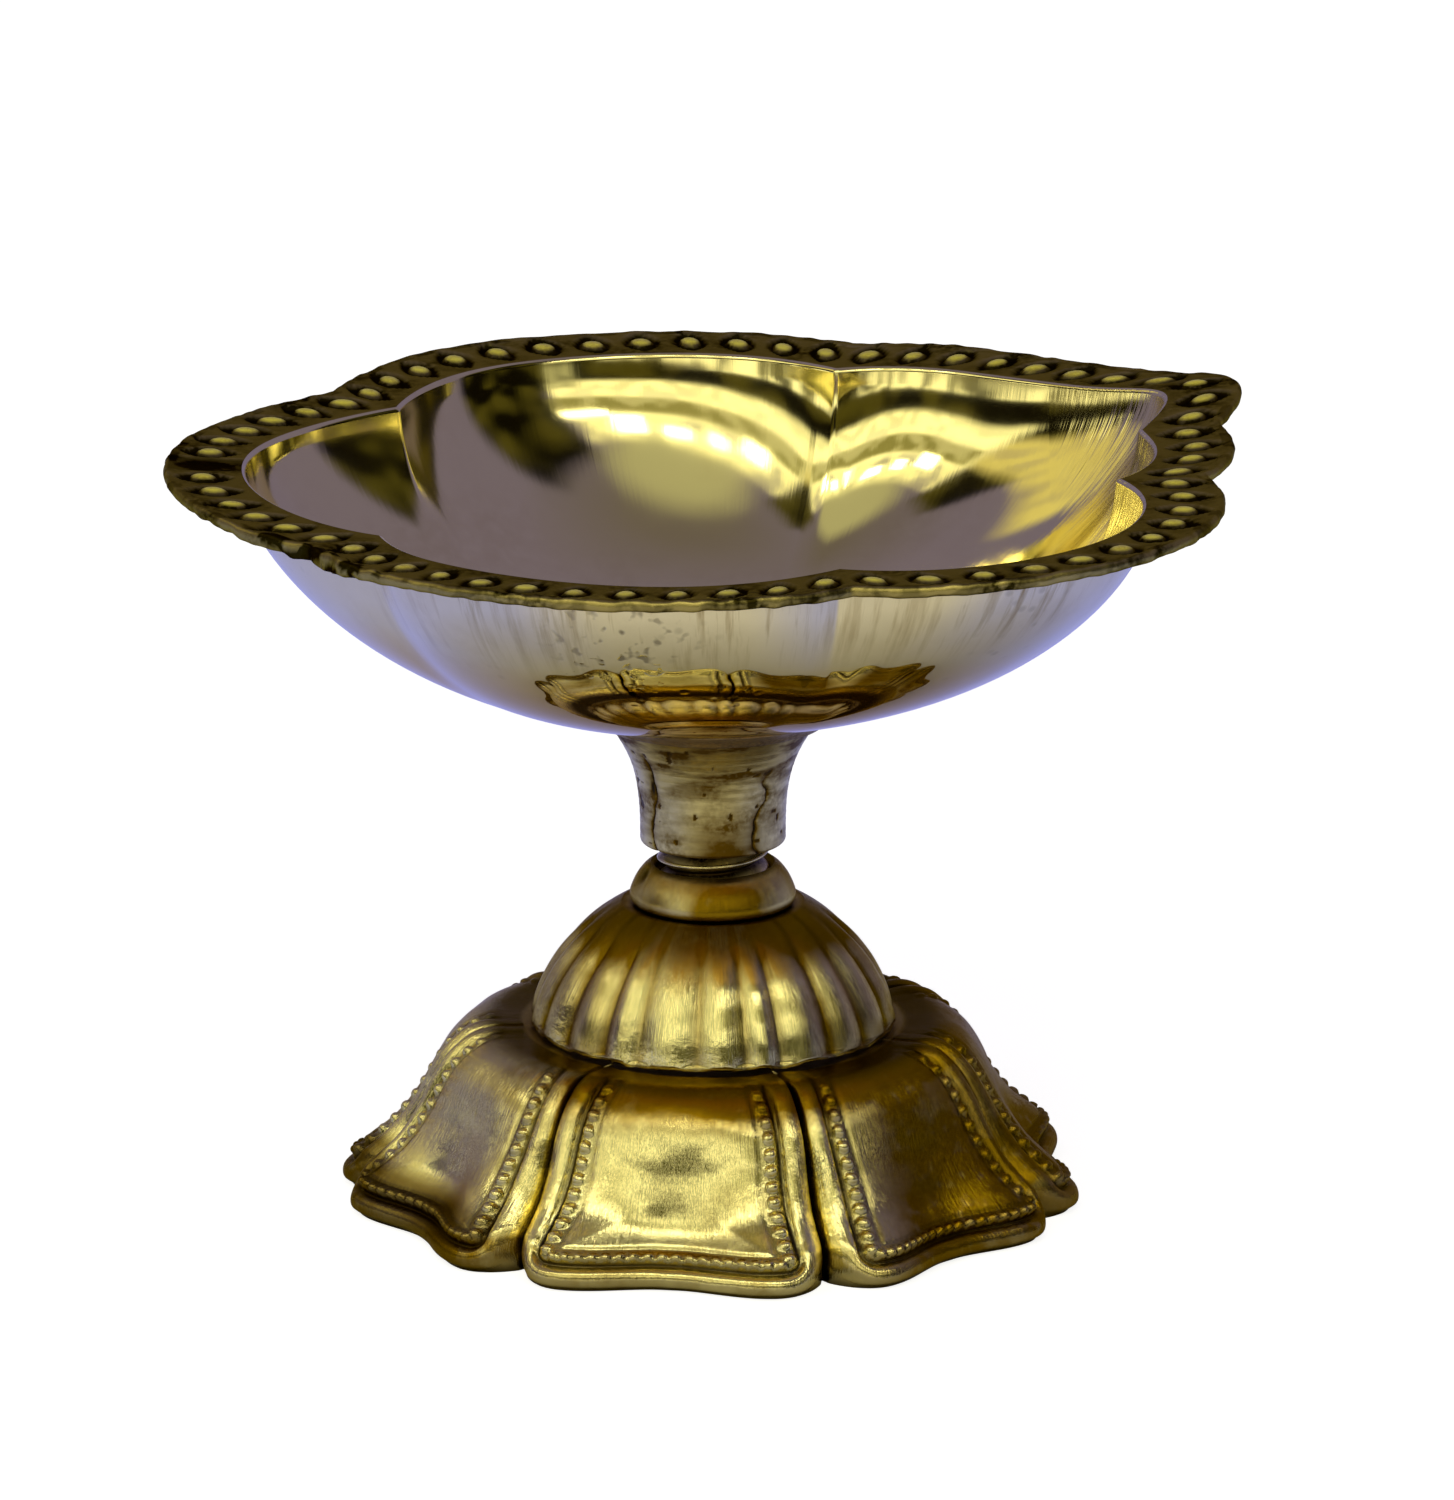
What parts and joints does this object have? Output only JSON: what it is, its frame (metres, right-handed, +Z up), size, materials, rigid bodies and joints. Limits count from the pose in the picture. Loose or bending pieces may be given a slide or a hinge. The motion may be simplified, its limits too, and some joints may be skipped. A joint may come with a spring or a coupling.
{
  "type": "oil lamp",
  "caption": "Brass oil lamp: a leaf-shaped bowl with a beaded flange on a flared stem that screws into a fluted dome on a petalled foot.",
  "frame": {"origin": "table height, on the stem's axis, under the middle of the whole lamp", "axes": "+Z up along the stem's axis, -X towards the bowl's wick tip"},
  "size_m": [0.09, 0.0916, 0.0645],
  "materials": {
    "bowl_brass": "polished inside, satin and darkened outside",
    "stem_brass": "turned, tarnished",
    "plain_brass": "cut thread",
    "foot_brass": "polished, dark in the grooves",
    "braze": "dull"
  },
  "bodies": {
    "pedestal": {"petal_skirt": "foot_brass", "fluted_dome": "foot_brass", "threaded_bush": "foot_brass", "bush_braze": "braze", "skirt_braze": "braze"},
    "stud": {"stem_stud": "plain_brass"},
    "bowl_assembly": {"bowl": "bowl_brass", "stem_collar": "stem_brass", "bowl_braze": "braze"}
  },
  "joints": [
    {"name": "screw_rise", "type": "slide", "parent": "pedestal", "child": "stud", "axis": [0, 0, 1], "range_m": [-0.00191, 0.0064]},
    {"name": "screw_turn", "type": "hinge", "parent": "stud", "child": "bowl_assembly", "pos_m": [0, 0, 0.03], "axis": [0, 0, 1], "range_deg": [-430, 1440]}
  ],
  "couplings": [
    {"joint": "screw_rise", "follows": "screw_turn", "m_per_rad": 0.00025266}
  ]
}
